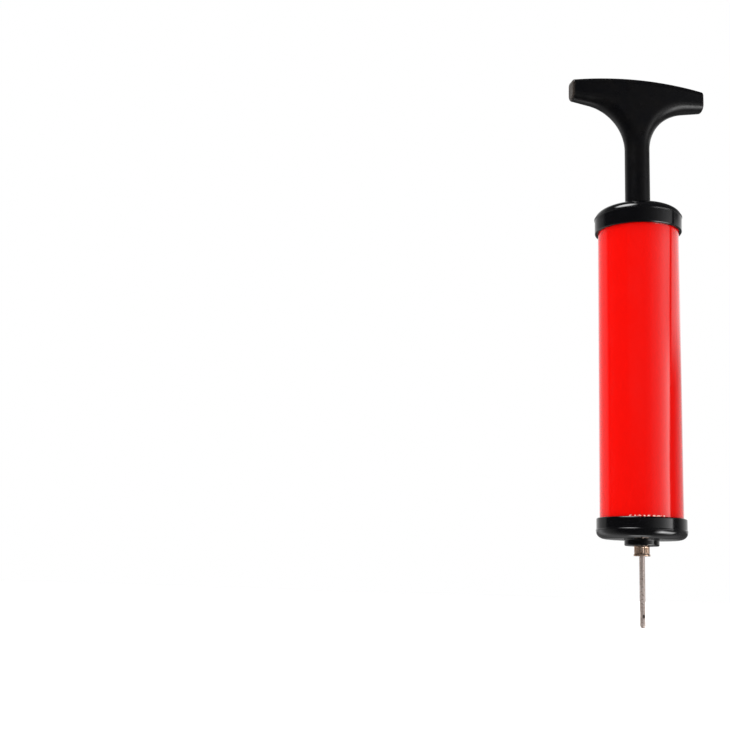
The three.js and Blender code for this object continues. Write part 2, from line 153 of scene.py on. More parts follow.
def finer(points, longest, closed):
    """Adds points so that no stretch of the outline is longer than longest."""
    result = []
    count = len(points)
    for i in range(count if closed else count - 1):
        here, ahead = Vector(points[i]), Vector(points[(i + 1) % count])
        pieces = max(1, math.ceil((ahead - here).length / longest))
        result += [here.lerp(ahead, j / pieces) for j in range(pieces)]
    return result if closed else result + [Vector(points[-1])]


def turned(name, outline, sides=128, closed=True, shape=None, longest=None):
    """Mesh turned about Z. shape(angle, radius, height) may change the radius.

    A closed outline goes round the section of a hollow piece, and an open one starts and ends on
    the axis. With longest, no stretch of the outline is longer than that.
    """
    points = finer(outline, longest, closed) if longest else [Vector(p) for p in outline]
    bm = bmesh.new()
    rings = []
    for point in points:
        if not closed and point.x < ON_AXIS:
            rings.append([bm.verts.new((0, 0, point.y * MM))])
            continue
        ring = []
        for side in range(sides):
            angle = 2 * math.pi * side / sides
            reach = (shape(angle, point.x, point.y) if shape else point.x) * MM
            place = (reach * math.cos(angle), reach * math.sin(angle), point.y * MM)
            ring.append(bm.verts.new(place))
        rings.append(ring)
    following = rings[1:] + rings[:1] if closed else rings[1:]
    for below, above in zip(rings, following):
        for side in range(sides):
            beyond = (side + 1) % sides
            if len(below) == 1:
                bm.faces.new((below[0], above[beyond], above[side]))
            elif len(above) == 1:
                bm.faces.new((below[side], below[beyond], above[0]))
            else:
                bm.faces.new((below[side], below[beyond], above[beyond], above[side]))
    bmesh.ops.recalc_face_normals(bm, faces=bm.faces)
    return finished(bm, name)


def finished(bm, name):
    """The bmesh as a mesh."""
    mesh = bpy.data.meshes.new(name)
    bm.to_mesh(mesh)
    bm.free()
    return mesh


def box_mesh(size, centre, turn=0.0):
    """A box in millimetres, turned about Z by an angle in radians."""
    bm = bmesh.new()
    bmesh.ops.create_cube(bm, size=1.0)
    bmesh.ops.scale(bm, vec=[s * MM for s in size], verts=bm.verts)
    bmesh.ops.translate(bm, vec=[c * MM for c in centre], verts=bm.verts)
    spin = Euler((0, 0, turn)).to_matrix()
    bmesh.ops.rotate(bm, cent=(0, 0, 0), matrix=spin, verts=bm.verts)
    return finished(bm, "cutter")


def linked(name, data):
    """An object in the scene that shows this data."""
    obj = bpy.data.objects.new(name, data)
    bpy.context.scene.collection.objects.link(obj)
    return obj


def evaluated(obj):
    """The object's mesh with its modifiers applied."""
    graph = bpy.context.evaluated_depsgraph_get()
    return bpy.data.meshes.new_from_object(obj.evaluated_get(graph))


def cut(mesh, cutters):
    """The mesh with every cutter mesh taken out of it."""
    target = linked("target", mesh)
    tools = [linked("tool", cutter) for cutter in cutters]
    for tool in tools:
        modifier = target.modifiers.new("cut", "BOOLEAN")
        modifier.operation = "DIFFERENCE"
        modifier.solver = "EXACT"
        modifier.object = tool
    result = evaluated(target)
    for obj in [target, *tools]:
        bpy.data.objects.remove(obj)
    return result


# ---- Finishes ----------------------------------------------------------------------------------

class Finish:
    """A procedural material: one Principled shader, with colour, roughness and bump from nodes."""

    def __init__(self, name, colour, roughness, **sockets):
        self.material = bpy.data.materials.new(name)
        self.material.use_nodes = True
        self.nodes = self.material.node_tree.nodes
        self.links = self.material.node_tree.links
        self.shader = self.nodes["Principled BSDF"]
        self.colour = (*colour, 1.0)
        self.shader.inputs["Base Color"].default_value = self.colour
        self.shader.inputs["Roughness"].default_value = roughness
        self.roughness = roughness
        for socket, value in sockets.items():
            self.shader.inputs[socket.replace("_", " ")].default_value = value
        self.place = self.nodes.new("ShaderNodeTexCoord").outputs["Object"]
        self.bump_chain = None
        self.colour_chain = None

    def noise(self, size_mm, detail=3.0, stretch=(1, 1, 1), roughness=0.5):
        """Noise whose grains are about size_mm across, stretched along each axis."""
        mapping = self.nodes.new("ShaderNodeMapping")
        mapping.inputs["Scale"].default_value = [1 / s for s in stretch]
        self.links.new(self.place, mapping.inputs["Vector"])
        texture = self.nodes.new("ShaderNodeTexNoise")
        texture.inputs["Scale"].default_value = 1 / (size_mm * MM)
        texture.inputs["Detail"].default_value = detail
        texture.inputs["Roughness"].default_value = roughness
        self.links.new(mapping.outputs["Vector"], texture.inputs["Vector"])
        return texture.outputs["Fac"]

    def remap(self, value, from_low, from_high, to_low=0.0, to_high=1.0):
        """Stretches one range of values over another, and stops at its ends."""
        node = self.nodes.new("ShaderNodeMapRange")
        for socket, number in zip(("From Min", "From Max", "To Min", "To Max"),
                                  (from_low, from_high, to_low, to_high)):
            node.inputs[socket].default_value = number
        self.links.new(value, node.inputs["Value"])
        return node.outputs["Result"]

    def vary_roughness(self, value, spread):
        """Roughness varies by spread either side of its middle value."""
        varied = self.remap(value, 0.3, 0.7, self.roughness - spread, self.roughness + spread)
        self.links.new(varied, self.shader.inputs["Roughness"])

    def vary_colour(self, value, other, from_low=0.35, from_high=0.65):
        """Blends from the colour so far to another where the value is high."""
        mix = self.nodes.new("ShaderNodeMix")
        mix.data_type = "RGBA"
        mix.inputs["A"].default_value = self.colour
        mix.inputs["B"].default_value = (*other, 1.0)
        if self.colour_chain:
            self.links.new(self.colour_chain, mix.inputs["A"])
        self.links.new(self.remap(value, from_low, from_high), mix.inputs["Factor"])
        self.colour_chain = mix.outputs["Result"]
        self.links.new(self.colour_chain, self.shader.inputs["Base Color"])

    def band(self, start, end, fade):
        """One between two heights in millimetres, falling to zero over the fade at each end."""
        split = self.nodes.new("ShaderNodeSeparateXYZ")
        self.links.new(self.place, split.inputs["Vector"])
        height = split.outputs["Z"]
        rising = self.remap(height, (start - fade) * MM, start * MM)
        falling = self.remap(height, end * MM, (end + fade) * MM, to_low=1.0, to_high=0.0)
        return self.product(rising, falling)

    def beyond(self, direction, start, end):
        """Rises from zero to one between two distances along a direction, in millimetres."""
        node = self.nodes.new("ShaderNodeVectorMath")
        node.operation = "DOT_PRODUCT"
        node.inputs[1].default_value = direction
        self.links.new(self.place, node.inputs[0])
        return self.remap(node.outputs["Value"], start * MM, end * MM)

    def product(self, a, b):
        """One value times the other."""
        node = self.nodes.new("ShaderNodeMath")
        node.operation = "MULTIPLY"
        self.links.new(a, node.inputs[0])
        self.links.new(b, node.inputs[1])
        return node.outputs["Value"]

    def bump(self, value, height_mm):
        """Adds a bump of that height on top of any earlier one."""
        node = self.nodes.new("ShaderNodeBump")
        node.inputs["Distance"].default_value = height_mm * MM
        node.inputs["Strength"].default_value = 1.0
        self.links.new(value, node.inputs["Height"])
        if self.bump_chain:
            self.links.new(self.bump_chain, node.inputs["Normal"])
        self.bump_chain = node.outputs["Normal"]
        self.links.new(self.bump_chain, self.shader.inputs["Normal"])


PAINTED_GLINT_SIDE = (-0.26, -0.966, 0)  # direction from the axis to the painted glints on the barrel, the side towards the camera


def red_barrel_finish():
    """Glossy extruded plastic with faint draw lines, specks of dust, and a painted highlight at its
    foot: whitish glints on the side towards the camera.
    """
    finish = Finish("red_gloss_plastic", (0.48, 0.0018, 0.0007), roughness=0.07, IOR=1.5)
    finish.vary_roughness(finish.noise(9, detail=4), spread=0.02)
    dust = finish.noise(0.35, detail=2, roughness=0.7)
    finish.vary_colour(dust, (0.6, 0.01, 0.008), from_low=0.72, from_high=0.78)
    cap_top = low("bottom_cap") + BOTTOM_SKIRT
    # painted highlight: whitish glints in a band at the barrel's foot, only on the side towards the
    # camera
    foot = finish.band(cap_top, cap_top + 0.5, fade=0.25)
    painted_glints = finish.product(foot, finish.noise(0.45, detail=1, stretch=(2.2, 2.2, 1)))
    painted_glints = finish.product(painted_glints, finish.beyond(PAINTED_GLINT_SIDE, start=12.9, end=13.6))
    finish.vary_colour(painted_glints, (0.8, 0.5, 0.42), from_low=0.5, from_high=0.58)
    finish.bump(finish.noise(0.6, detail=2, stretch=(1, 1, 60)), height_mm=0.0012)
    finish.bump(finish.noise(7, detail=1, stretch=(1, 1, 4)), height_mm=0.012)
    return finish.material


def black_gloss_finish():
    """Glossy moulded plastic for the end caps."""
    finish = Finish("black_gloss_plastic", (0.001, 0.001, 0.0014), roughness=0.11, IOR=1.5)
    finish.vary_roughness(finish.noise(4, detail=5), spread=0.03)
    dust = finish.noise(0.3, detail=2, roughness=0.7)
    finish.vary_colour(dust, (0.004, 0.004, 0.0048), from_low=0.7, from_high=0.8)
    finish.bump(finish.noise(3.5, detail=2), height_mm=0.004)
    return finish.material


def black_satin_finish():
    """Satin moulded plastic with a fine spark-eroded grain for the handle, with lighter ends:
    rubbed wear and a painted highlight.
    """
    finish = Finish("black_satin_plastic", (0.001, 0.001, 0.0015), roughness=0.32, IOR=1.3)
    finish.vary_roughness(finish.noise(2.2, detail=5), spread=0.05)
    finish.vary_colour(finish.noise(5), (0.0018, 0.0016, 0.0017))
    wear_and_sheen = finish.noise(0.5, detail=4, roughness=0.7)
    # lighter ends: partly rubbed wear, partly a painted highlight where the end faces catch the
    # light
    for side in (-1, 1):
        grip_end = finish.beyond((side, 0, 0), start=24.5, end=26.8)
        finish.vary_colour(finish.product(wear_and_sheen, grip_end), (0.042, 0.032, 0.026),
                           from_low=0.3, from_high=0.65)
    finish.bump(finish.noise(0.12, detail=2), height_mm=0.0022)
    finish.bump(finish.noise(6, detail=1), height_mm=0.01)
    return finish.material


def nylon_finish():
    """Natural, slightly waxy nylon for the inner mouldings."""
    finish = Finish("natural_nylon", (0.7, 0.66, 0.56), roughness=0.45, IOR=1.5)
    finish.vary_roughness(finish.noise(1.5, detail=4), spread=0.06)
    finish.vary_colour(finish.noise(3), (0.62, 0.57, 0.47))
    finish.bump(finish.noise(0.25), height_mm=0.003)
    return finish.material


def rubber_finish():
    """Black nitrile rubber with a dusty bloom."""
    finish = Finish("black_rubber", (0.012, 0.012, 0.013), roughness=0.7, IOR=1.5)
    finish.vary_roughness(finish.noise(0.8, detail=4), spread=0.08)
    bloom = finish.noise(1.2, detail=5)
    finish.vary_colour(bloom, (0.03, 0.03, 0.031), from_low=0.5, from_high=0.8)
    finish.bump(finish.noise(0.1, detail=2), height_mm=0.004)
    return finish.material


def metal_finish(name, colour, tarnish, roughness, lines_mm, metallic=1.0):
    """Turned or drawn metal: fine lines round the axis and patches of tarnish."""
    finish = Finish(name, colour, roughness, Metallic=metallic)
    finish.vary_roughness(finish.noise(0.7, detail=4), spread=0.06)
    finish.vary_colour(finish.noise(1.1, detail=4), tarnish, from_low=0.45, from_high=0.75)
    finish.bump(finish.noise(lines_mm, detail=2, stretch=(40, 40, 1)), height_mm=0.0015)
    return finish.material


FINISHES = {
    "barrel": red_barrel_finish(),
    "caps": black_gloss_finish(),
    "handle": black_satin_finish(),
    "nylon": nylon_finish(),
    "seals": rubber_finish(),
    "insert": metal_finish("turned_brass", (0.62, 0.4, 0.17), (0.4, 0.22, 0.08),
                           roughness=0.28, lines_mm=0.12),
    "needle": metal_finish("drawn_nickel_plate", (0.44, 0.37, 0.34), (0.34, 0.27, 0.235),
                           roughness=0.3, lines_mm=0.1, metallic=0.65),
    "collar": metal_finish("worn_nickel_on_brass", (0.62, 0.46, 0.36), (0.4, 0.2, 0.1),
                           roughness=0.22, lines_mm=0.1, metallic=0.9),
    "steel": metal_finish("zinc_plated_steel", (0.5, 0.52, 0.54), (0.4, 0.41, 0.4),
                          roughness=0.3, lines_mm=0.15),
}


def piece(name, mesh, body, slot, replaced, sharp=35, finish=None):
    """A mesh that rides on a body in place of a CAD node, shaded smooth up to the sharp angle.

    Its finish is the one of its slot unless another is named.
    """
    mesh.polygons.foreach_set("use_smooth", [True] * len(mesh.polygons))
    mesh.set_sharp_from_angle(angle=math.radians(sharp))
    obj = linked(name, mesh)
    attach(obj, body)
    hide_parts(*replaced)
    obj.data.materials.clear()
    obj.data.materials.append(FINISHES[finish or slot])
    return obj


# ---- Barrel and end caps -----------------------------------------------------------------------

def make_barrel_tube():
    bottom, top, outer = extent("barrel_tube")
    inner = outer - TUBE_WALL
    outline = rounded([
        (inner, bottom, 0.2), (outer, bottom, 0.3), (outer, top, 0.3), (inner, top, 0.2),
    ])
    mesh = turned("barrel_tube", outline, sides=192, longest=6)
    piece("barrel_tube_fine", mesh, "barrel", "barrel", ["barrel_tube"])


def make_bottom_cap():
    """Cup with a rounded lower edge, a parting ledge, the nozzle boss and a hub for the insert."""
    ledge_r = radius("bottom_cap")
    nozzle = low("bottom_cap")
    underside = nozzle + 2.3
    ledge = nozzle + 5.5
    skirt_top = nozzle + BOTTOM_SKIRT
    tube_foot = low("barrel_tube") - FIT
    boss_r = 6.25
    slot_r = radius("barrel_tube") + FIT
    spigot_r = radius("barrel_tube") - TUBE_WALL - FIT
    floor = nozzle + 6.0
    hub_top = nozzle + 9.0
    hub_r = 6.6
    insert_r = radius("needle_insert") + FIT
    washer_r = radius("needle_washer") + FIT
    insert_foot = low("needle_insert") - FIT
    groove_foot, groove_top = low("cap_o_ring") - 0.3, high("cap_o_ring") + 0.3
    groove_r = 12.3
    edge_width, edge_height = 3.2, 2.7
    edge_centre_r = ledge_r - 3.25
    lower_edge = arc(edge_centre_r, underside + edge_height, edge_width, edge_height,
                     start=-90, end=-5, steps=18)
    outline = rounded([
        (washer_r, nozzle, 0.15),
        (boss_r, nozzle, 0.5),
        (boss_r, underside, 0.35),
        *lower_edge,
        (ledge_r, ledge - 0.25, 0.1),
        (ledge_r, ledge + 0.05, 0.12),
        (SKIRT_R, ledge + 0.28, 0.1),
        (SKIRT_R, skirt_top, 0.45),
        (slot_r, skirt_top, 0.12),
        (slot_r, tube_foot),
        (spigot_r, tube_foot),
        (spigot_r, groove_foot),
        (groove_r, groove_foot),
        (groove_r, groove_top),
        (spigot_r, groove_top),
        (spigot_r, high("bottom_cap"), 0.3),
        (SPIGOT_BORE_R, high("bottom_cap"), 0.3),
        (SPIGOT_BORE_R, floor, 0.2),
        (hub_r, floor, 0.2),
        (hub_r, hub_top, 0.2),
        (insert_r, hub_top, 0.15),
        (insert_r, insert_foot),
        (washer_r, insert_foot),
    ])
    mesh = turned("bottom_cap", outline, sides=192)
    piece("bottom_cap_fine", mesh, "barrel", "caps", ["bottom_cap"])


def make_top_cap():
    """Domed cap with a parting ledge, the rod hole and a pocket for the rod guide."""
    ledge_r = radius("top_cap")
    crown = high("top_cap")
    ledge = crown - 4.4
    skirt_foot = crown - 10.2
    slot_r = radius("barrel_tube") + FIT
    spigot_r = radius("barrel_tube") - TUBE_WALL - FIT
    tube_head = high("barrel_tube") + FIT
    roof = crown - 4.6
    pocket = crown - 2.5
    pocket_wall = 9.4
    guide_r = 7.5
    guide_shoulder = low("rod_guide_bush") + 1.6
    hole_r = ROD_R + 0.3
    flat_r = 7.0
    dome = arc(flat_r, ledge, SKIRT_R - 0.05 - flat_r, crown - ledge, start=6, end=90, steps=24)
    outline = rounded([
        (slot_r, skirt_foot, 0.12),
        (SKIRT_R, skirt_foot, 0.45),
        (SKIRT_R, ledge - 0.28, 0.1),
        (ledge_r, ledge - 0.05, 0.12),
        (ledge_r, ledge + 0.22, 0.1),
        *dome,
        (hole_r, crown, 0.3),
        (hole_r, pocket),
        (guide_r, pocket),
        (guide_r, guide_shoulder),
        (pocket_wall, guide_shoulder),
        (pocket_wall, roof + 0.8, 0.3),
        (SPIGOT_BORE_R, roof, 0.3),
        (SPIGOT_BORE_R, low("top_cap"), 0.3),
        (spigot_r, low("top_cap"), 0.3),
        (spigot_r, tube_head),
        (slot_r, tube_head),
    ])
    mesh = turned("top_cap", outline, sides=192)
    piece("top_cap_fine", mesh, "barrel", "caps", ["top_cap"])


def make_rod_guide():
    """Flanged bush with four grooves along it that let air past."""
    bottom, top, flange_r = extent("rod_guide_bush")
    flange_top = bottom + 1.5
    sleeve_r = 7.4
    bore = ROD_R + 0.15
    outline = rounded([
        (bore, bottom, 0.3),
        (flange_r, bottom, 0.25),
        (flange_r, flange_top, 0.2),
        (sleeve_r, flange_top, 0.1),
        (sleeve_r, top, 0.3),
        (bore, top, 0.3),
    ])
    body = turned("rod_guide", outline, sides=96)
    groove_size = (6, 1.6, top - bottom + 2)
    groove_centre = (9.2, 0, (bottom + top) / 2)
    grooves = [box_mesh(groove_size, groove_centre, math.pi * (i / 2 + 0.25)) for i in range(4)]
    piece("rod_guide_fine", cut(body, grooves), "barrel", "nylon", ["rod_guide_bush"])


def make_seals():
    """The rubber rings, the gasket, the needle's washer and the facing of the poppet."""
    round_ring("cap_o_ring", "barrel", ring_r=12.9, section_r=0.5, steps=24, sides=128)
    round_ring("piston_o_ring", "piston_ring", ring_r=12.0, section_r=1.4, steps=32, sides=160)
    flat_ring("end_gasket", "barrel", bore=6.7)
    flat_ring("bump_ring", "bump_ring", bore=ROD_R + 0.15, edge=0.5)
    flat_ring("needle_washer", "needle_seal", bore=THREAD_R + FIT, edge=0.12)
    bottom, top, outer = extent("poppet_seal")
    corners = [(0, bottom), (outer, bottom, 0.1), (outer, top, 0.15), (0, top)]
    facing = turned("poppet_seal", rounded(corners, closed=False), sides=64, closed=False)
    piece("poppet_seal_fine", facing, "valve", "seals", ["poppet_seal"])


def round_ring(node, body, ring_r, section_r, steps, sides):
    """A rubber ring with a round section, whose outline ends a step early as turned() closes it."""
    middle = (low(node) + high(node)) / 2
    outline = arc(ring_r, middle, section_r, section_r, 0, 360 - 360 / steps, steps - 1)
    piece(node + "_fine", turned(node, outline, sides), body, "seals", [node])


def flat_ring(node, body, bore, edge=0.1):
    """A rubber ring with a rectangular section and softened edges."""
    bottom, top, outer = extent(node)
    outline = rounded([
        (bore, bottom, edge), (outer, bottom, edge), (outer, top, edge), (bore, top, edge),
    ])
    piece(node + "_fine", turned(node, outline, sides=96), body, "seals", [node])


# ---- Outlet valve ------------------------------------------------------------------------------

def make_valve_plug():
    """Plug with the valve's seat and chamber, a ring core and a recess for the bottom cap's hub."""
    bottom, top, outer = extent("valve_plug")
    core_inner_r, core_outer_r, core_top = 8.6, 10.0, bottom + 6.3
    seat, seat_width = top - 2.1, 0.5
    port_r = 1.6
    chamber_r, chamber_top = 3.9, top - 1.6
    recess_r, recess_top = 6.8, bottom + 2.2
    outline = rounded([
        (core_inner_r, bottom, 0.2),
        (core_inner_r, core_top, 0.3),
        (core_outer_r, core_top, 0.3),
        (core_outer_r, bottom, 0.2),
        (outer, bottom, 0.2),
        (outer, top, 0.4),
        (port_r, top, 0.25),
        (port_r, seat, 0.08),
        (port_r + seat_width, seat, 0.08),
        (port_r + seat_width, chamber_top, 0.1),
        (chamber_r, chamber_top, 0.3),
        (chamber_r, recess_top, 0.1),
        (recess_r, recess_top, 0.2),
        (recess_r, bottom, 0.2),
    ])
    mesh = turned("valve_plug", outline, sides=128)
    piece("valve_plug_fine", mesh, "barrel", "nylon", ["valve_plug"])


def make_valve_poppet():
    """Disc on a stem, with the stem down inside the spring."""
    bottom, top, head_r = extent("valve_poppet")
    head_foot = top - 1.2
    stem_r = 1.5
    outline = rounded([
        (0, bottom),
        (stem_r, bottom, 0.35),
        (stem_r, head_foot, 0.15),
        (head_r, head_foot, 0.15),
        (head_r, top, 0.15),
        (0, top),
    ], closed=False)
    mesh = turned("valve_poppet", outline, sides=64, closed=False)
    piece("valve_poppet_fine", mesh, "valve", "nylon", ["valve_poppet"])


def make_valve_spring():
    """Round wire with closed, flattened ends. The real spring shortens as the valve opens; this
    mesh keeps its length.
    """
    bottom, top = low("valve_spring"), high("valve_spring")
    wire_r, coil_r, turns, steps = 0.25, 2.75, 4.0, 200
    curve = bpy.data.curves.new("valve_spring", "CURVE")
    curve.dimensions = "3D"
    curve.bevel_depth = wire_r * MM
    curve.bevel_resolution = 4
    curve.use_fill_caps = True
    spline = curve.splines.new("POLY")
    spline.points.add(steps)
    for i, point in enumerate(spline.points):
        share = i / steps
        angle = 2 * math.pi * turns * share
        climb = 3 * share ** 2 - 2 * share ** 3  # level at both ends
        height = bottom + wire_r + (top - bottom - 2 * wire_r) * climb
        point.co = (coil_r * MM * math.cos(angle), coil_r * MM * math.sin(angle), height * MM, 1)
    holder = linked("holder", curve)
    mesh = evaluated(holder)
    bpy.data.objects.remove(holder)
    spring = piece("valve_spring_fine", mesh, "barrel", "steel", ["valve_spring"])
    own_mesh(spring)


# ---- Needle ------------------------------------------------------------------------------------

RUN_OUT = 0.6 * THREAD_PITCH  # height over which a thread fades out
FLANK = 2.4  # share of the depth that a flank gains in a whole pitch
CREST_BAND = 0.02  # points this close to a radius belong to the face on it


def thread(crest_r, depth, start, end):
    """Shape for turned(): a right-handed V thread between two heights, fading out at both ends."""
    def shape(angle, reach, height):
        if abs(reach - crest_r) > CREST_BAND or not start < height < end:
            return reach
        phase = (height / THREAD_PITCH - angle / (2 * math.pi)) % 1.0
        fade = min(1.0, (height - start) / RUN_OUT, (end - height) / RUN_OUT)
        return reach - depth * fade * min(1.0, FLANK * abs(phase - 0.5))
    return shape


def knurling(angle, count):
    """Depth of straight knurling, from 0 on its crests to 1 in its grooves."""
    return abs((angle * count / (2 * math.pi)) % 1.0 - 0.5) * 2


def make_needle_base():
    """Knurled collar with a flared lip, and the threaded shank above it."""
    bottom, top, lip_r = extent("needle_base")
    shoulder = low("bottom_cap")
    collar_r = 2.75
    neck_r = THREAD_R - 0.4
    thread_foot, thread_top = shoulder + 0.9, top - 0.3
    bore = radius("needle_tube") + 0.05
    blind_end = high("needle_tube") + FIT
    knurls = 22
    knurl_depth = 0.16
    knurl_foot, knurl_top = bottom + 0.95, shoulder - 0.35
    knurl_fade = 0.15
    turn_thread = thread(THREAD_R, 0.38, thread_foot, thread_top)

    def shape(angle, reach, height):
        if abs(reach - collar_r) < CREST_BAND and knurl_foot <= height <= knurl_top:
            ends = min(height - knurl_foot, knurl_top - height) / knurl_fade
            return reach - knurl_depth * knurling(angle, knurls) * min(1.0, ends)
        return turn_thread(angle, reach, height)

    outline = rounded([
        (bore, bottom, 0.05),
        (lip_r, bottom, 0.12),
        (lip_r, bottom + 0.5, 0.12),
        (collar_r, bottom + 0.8, 0.08),
        (collar_r, shoulder, 0.2),
        (neck_r, shoulder, 0.1),
        (neck_r, shoulder + 0.7, 0.1),
        (THREAD_R, thread_foot),
        (THREAD_R, thread_top),
        (neck_r, top, 0.1),
        (NEEDLE_BORE_R, top, 0.1),
        (NEEDLE_BORE_R, blind_end),
        (bore, blind_end),
    ])
    mesh = turned("needle_base", outline, sides=176, shape=shape, longest=0.1)
    piece("needle_base_fine", mesh, "needle", "needle", ["needle_base"], sharp=50, finish="collar")


def make_needle_tube():
    """Drawn tube with a rounded tip and a side port."""
    bottom, top, outer = extent("needle_tube")
    tip = arc(0, bottom + outer, outer, outer, start=-90, end=0, steps=16)
    bore_foot = bottom + 2.4
    outline = [
        (0, bottom), *tip[1:], (outer, top - 0.1), (outer - 0.1, top), (NEEDLE_BORE_R, top),
        (NEEDLE_BORE_R, bottom + 2.6), (NEEDLE_BORE_R - 0.3, bore_foot), (0, bore_foot),
    ]
    tube = turned("needle_tube", outline, sides=64, closed=False)
    port_size = (0.42, 1.0, 0.75)
    port_height = bottom + 4.2
    port = bmesh.new()
    bmesh.ops.create_uvsphere(port, u_segments=32, v_segments=16, radius=1.0)
    bmesh.ops.scale(port, vec=[s * MM for s in port_size], verts=port.verts)
    bmesh.ops.translate(port, vec=(0, -outer * MM, port_height * MM), verts=port.verts)
    mesh = cut(tube, [finished(port, "port")])
    piece("needle_tube_fine", mesh, "needle", "needle", ["needle_tube"])


def make_needle_insert():
    """Brass socket: thread inside, two knurled bands and a locking groove outside."""
    bottom, top, outer = extent("needle_insert")
    middle = (bottom + top) / 2
    bore = THREAD_R + FIT
    groove_r, groove_half = outer - 0.5, 0.6
    knurls = 40
    knurl_depth = 0.14
    foot, head = bottom + 0.3, top - 0.3  # where the knurling and the thread start and end
    inner_thread = thread(bore, 0.36, foot, head)

    def shape(angle, reach, height):
        if reach > outer - CREST_BAND and foot < height < head:
            return reach - knurl_depth * knurling(angle, knurls)
        return inner_thread(angle, reach, height)

    outline = rounded([
        (bore, bottom, 0.15),
        (outer, bottom, 0.15),
        (outer, middle - groove_half, 0.1),
        (groove_r, middle - groove_half, 0.1),
        (groove_r, middle + groove_half, 0.1),
        (outer, middle + groove_half, 0.1),
        (outer, top, 0.15),
        (bore, top, 0.15),
    ])
    mesh = turned("needle_insert", outline, sides=160, shape=shape, longest=0.13)
    piece("needle_insert_fine", mesh, "barrel", "insert", ["needle_insert"], sharp=50)


# ---- Piston ------------------------------------------------------------------------------------

SCREW_BORE_R = SCREW_R + FIT


def make_piston_head():
    """Core for the ring, flange above it, and the spigot that goes up into the rod."""
    bottom, top, outer = extent("piston_head")
    flange_foot = bottom + 4.1
    flange_top = bottom + 6.9
    core_r = 10.1
    spigot_r = 2.9
    pilot = bottom + 10.7  # blind end of the screw's hole
    outline = rounded([
        (SCREW_BORE_R, bottom, 0.1),
        (core_r, bottom, 0.2),
        (core_r, flange_foot, 0.15),
        (outer, flange_foot, 0.2),
        (outer, flange_top, 0.5),
        (spigot_r, flange_top, 0.05),
        (spigot_r, top, 0.4),
        (0.0, top),
        (0.0, pilot),
        (SCREW_BORE_R, pilot, 0.1),
    ])
    mesh = turned("piston_head", blind(outline), sides=128, closed=False)
    piece("piston_head_fine", mesh, "plunger", "nylon", ["piston_head"])


def blind(outline):
    """Reorders the outline of a blind-bored piece so that it starts and ends on the axis."""
    last = max(i for i, point in enumerate(outline) if point[0] < ON_AXIS)
    return outline[last:] + outline[:last]


def make_piston_retainer():
    """Lower flange with six notches that let air reach the ring, and a recess for the washer."""
    bottom, top, outer = extent("piston_retainer")
    recess_r, recess_top = 4.1, bottom + 2.7
    outline = rounded([
        (recess_r, bottom, 0.2),
        (outer, bottom, 0.5),
        (outer, top, 0.2),
        (SCREW_BORE_R, top, 0.1),
        (SCREW_BORE_R, recess_top, 0.05),
        (recess_r, recess_top, 0.1),
    ])
    body = turned("piston_retainer", outline, sides=128)
    notch_size = (4, 3, top - bottom + 2)
    notch_centre = (outer, 0, (bottom + top) / 2)
    notches = [box_mesh(notch_size, notch_centre, math.pi * i / 3) for i in range(6)]
    piece("piston_retainer_fine", cut(body, notches), "plunger", "nylon", ["piston_retainer"])


def make_piston_washer():
    bottom, top, outer = extent("piston_washer")
    bore = SCREW_BORE_R
    outline = rounded([
        (bore, bottom, 0.05), (outer, bottom, 0.12), (outer, top, 0.12), (bore, top, 0.05),
    ])
    mesh = turned("piston_washer", outline, sides=96)
    piece("piston_washer_fine", mesh, "plunger", "steel", ["piston_washer"])


def make_piston_screw():
    """Pan-head screw with a cross recess and a rolled thread."""
    bottom, top, head_r = extent("piston_screw")
    neck = bottom + 1.6
    tip = top - 1.0
    outline = rounded([
        (0, bottom),
        (head_r - 0.6, bottom, 0.8),
        (head_r, bottom + 0.7, 0.3),
        (head_r, neck, 0.1),
        (SCREW_R, neck, 0.05),
        (SCREW_R, tip, 0.1),
        (0, top),
    ], closed=False)
    shape = thread(SCREW_R, 0.26, neck + 1.0, tip)
    body = turned("piston_screw", outline, sides=96, closed=False, shape=shape, longest=0.12)
    slot_length, slot_width, slot_depth = 3.0, 0.6, 2
    recess = [box_mesh((slot_length, slot_width, slot_depth), (0, 0, bottom)),
              box_mesh((slot_width, slot_length, slot_depth), (0, 0, bottom))]
    piece("piston_screw_fine", cut(body, recess), "plunger", "steel", ["piston_screw"], sharp=50)


# ---- Handle and rod ----------------------------------------------------------------------------

GRIP_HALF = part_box("handle_and_rod")[1].x / MM
GRIP_CROWN = high("handle_and_rod")
GRIP_END_TOP = GRIP_CROWN - 2.0
FLARE_R = 17.0  # concave corner between neck and grip
FLARE_Z = GRIP_CROWN - 27.9
ROD_FOOT = low("handle_and_rod")
SLOPE = math.radians(9)  # rise of the underside towards the ends
FLARE_X = ROD_R + FLARE_R
TANGENT_X = FLARE_X - FLARE_R * math.sin(SLOPE)  # where the flare meets the sloping underside
TANGENT_Z = FLARE_Z + FLARE_R * math.cos(SLOPE)
GRIP_END_DEPTH = 3.0  # half the depth of the grip at its ends
UNDER_EDGE = 0.96  # rounding of the underside, as a share of half the depth
TOP_EDGE = (2.2, 1.5)  # rounding of the upper long edges, in the middle and at the ends
END_EDGE = 0.8  # rounding round the end faces
FOOT_EDGE = 0.3  # rounding of the rod's foot


def both(a, b, rounding):
    """Distance field of the space inside both, with the edge between them rounded."""
    outside = np.hypot(np.maximum(a + rounding, 0), np.maximum(b + rounding, 0))
    return outside + np.minimum(np.maximum(a, b), -rounding)


def underside_height(x):
    """Height of the underside above a distance from the axis."""
    run = FLARE_X - np.minimum(x, TANGENT_X)
    on_arc = FLARE_Z + np.sqrt(np.maximum(FLARE_R ** 2 - run ** 2, 0))
    return np.where(x < TANGENT_X, on_arc, TANGENT_Z + (x - TANGENT_X) * math.tan(SLOPE))


def top_height(x):
    """Height of the top of the grip above a distance from the axis."""
    return GRIP_CROWN - (GRIP_CROWN - GRIP_END_TOP) * (x / GRIP_HALF) ** 2


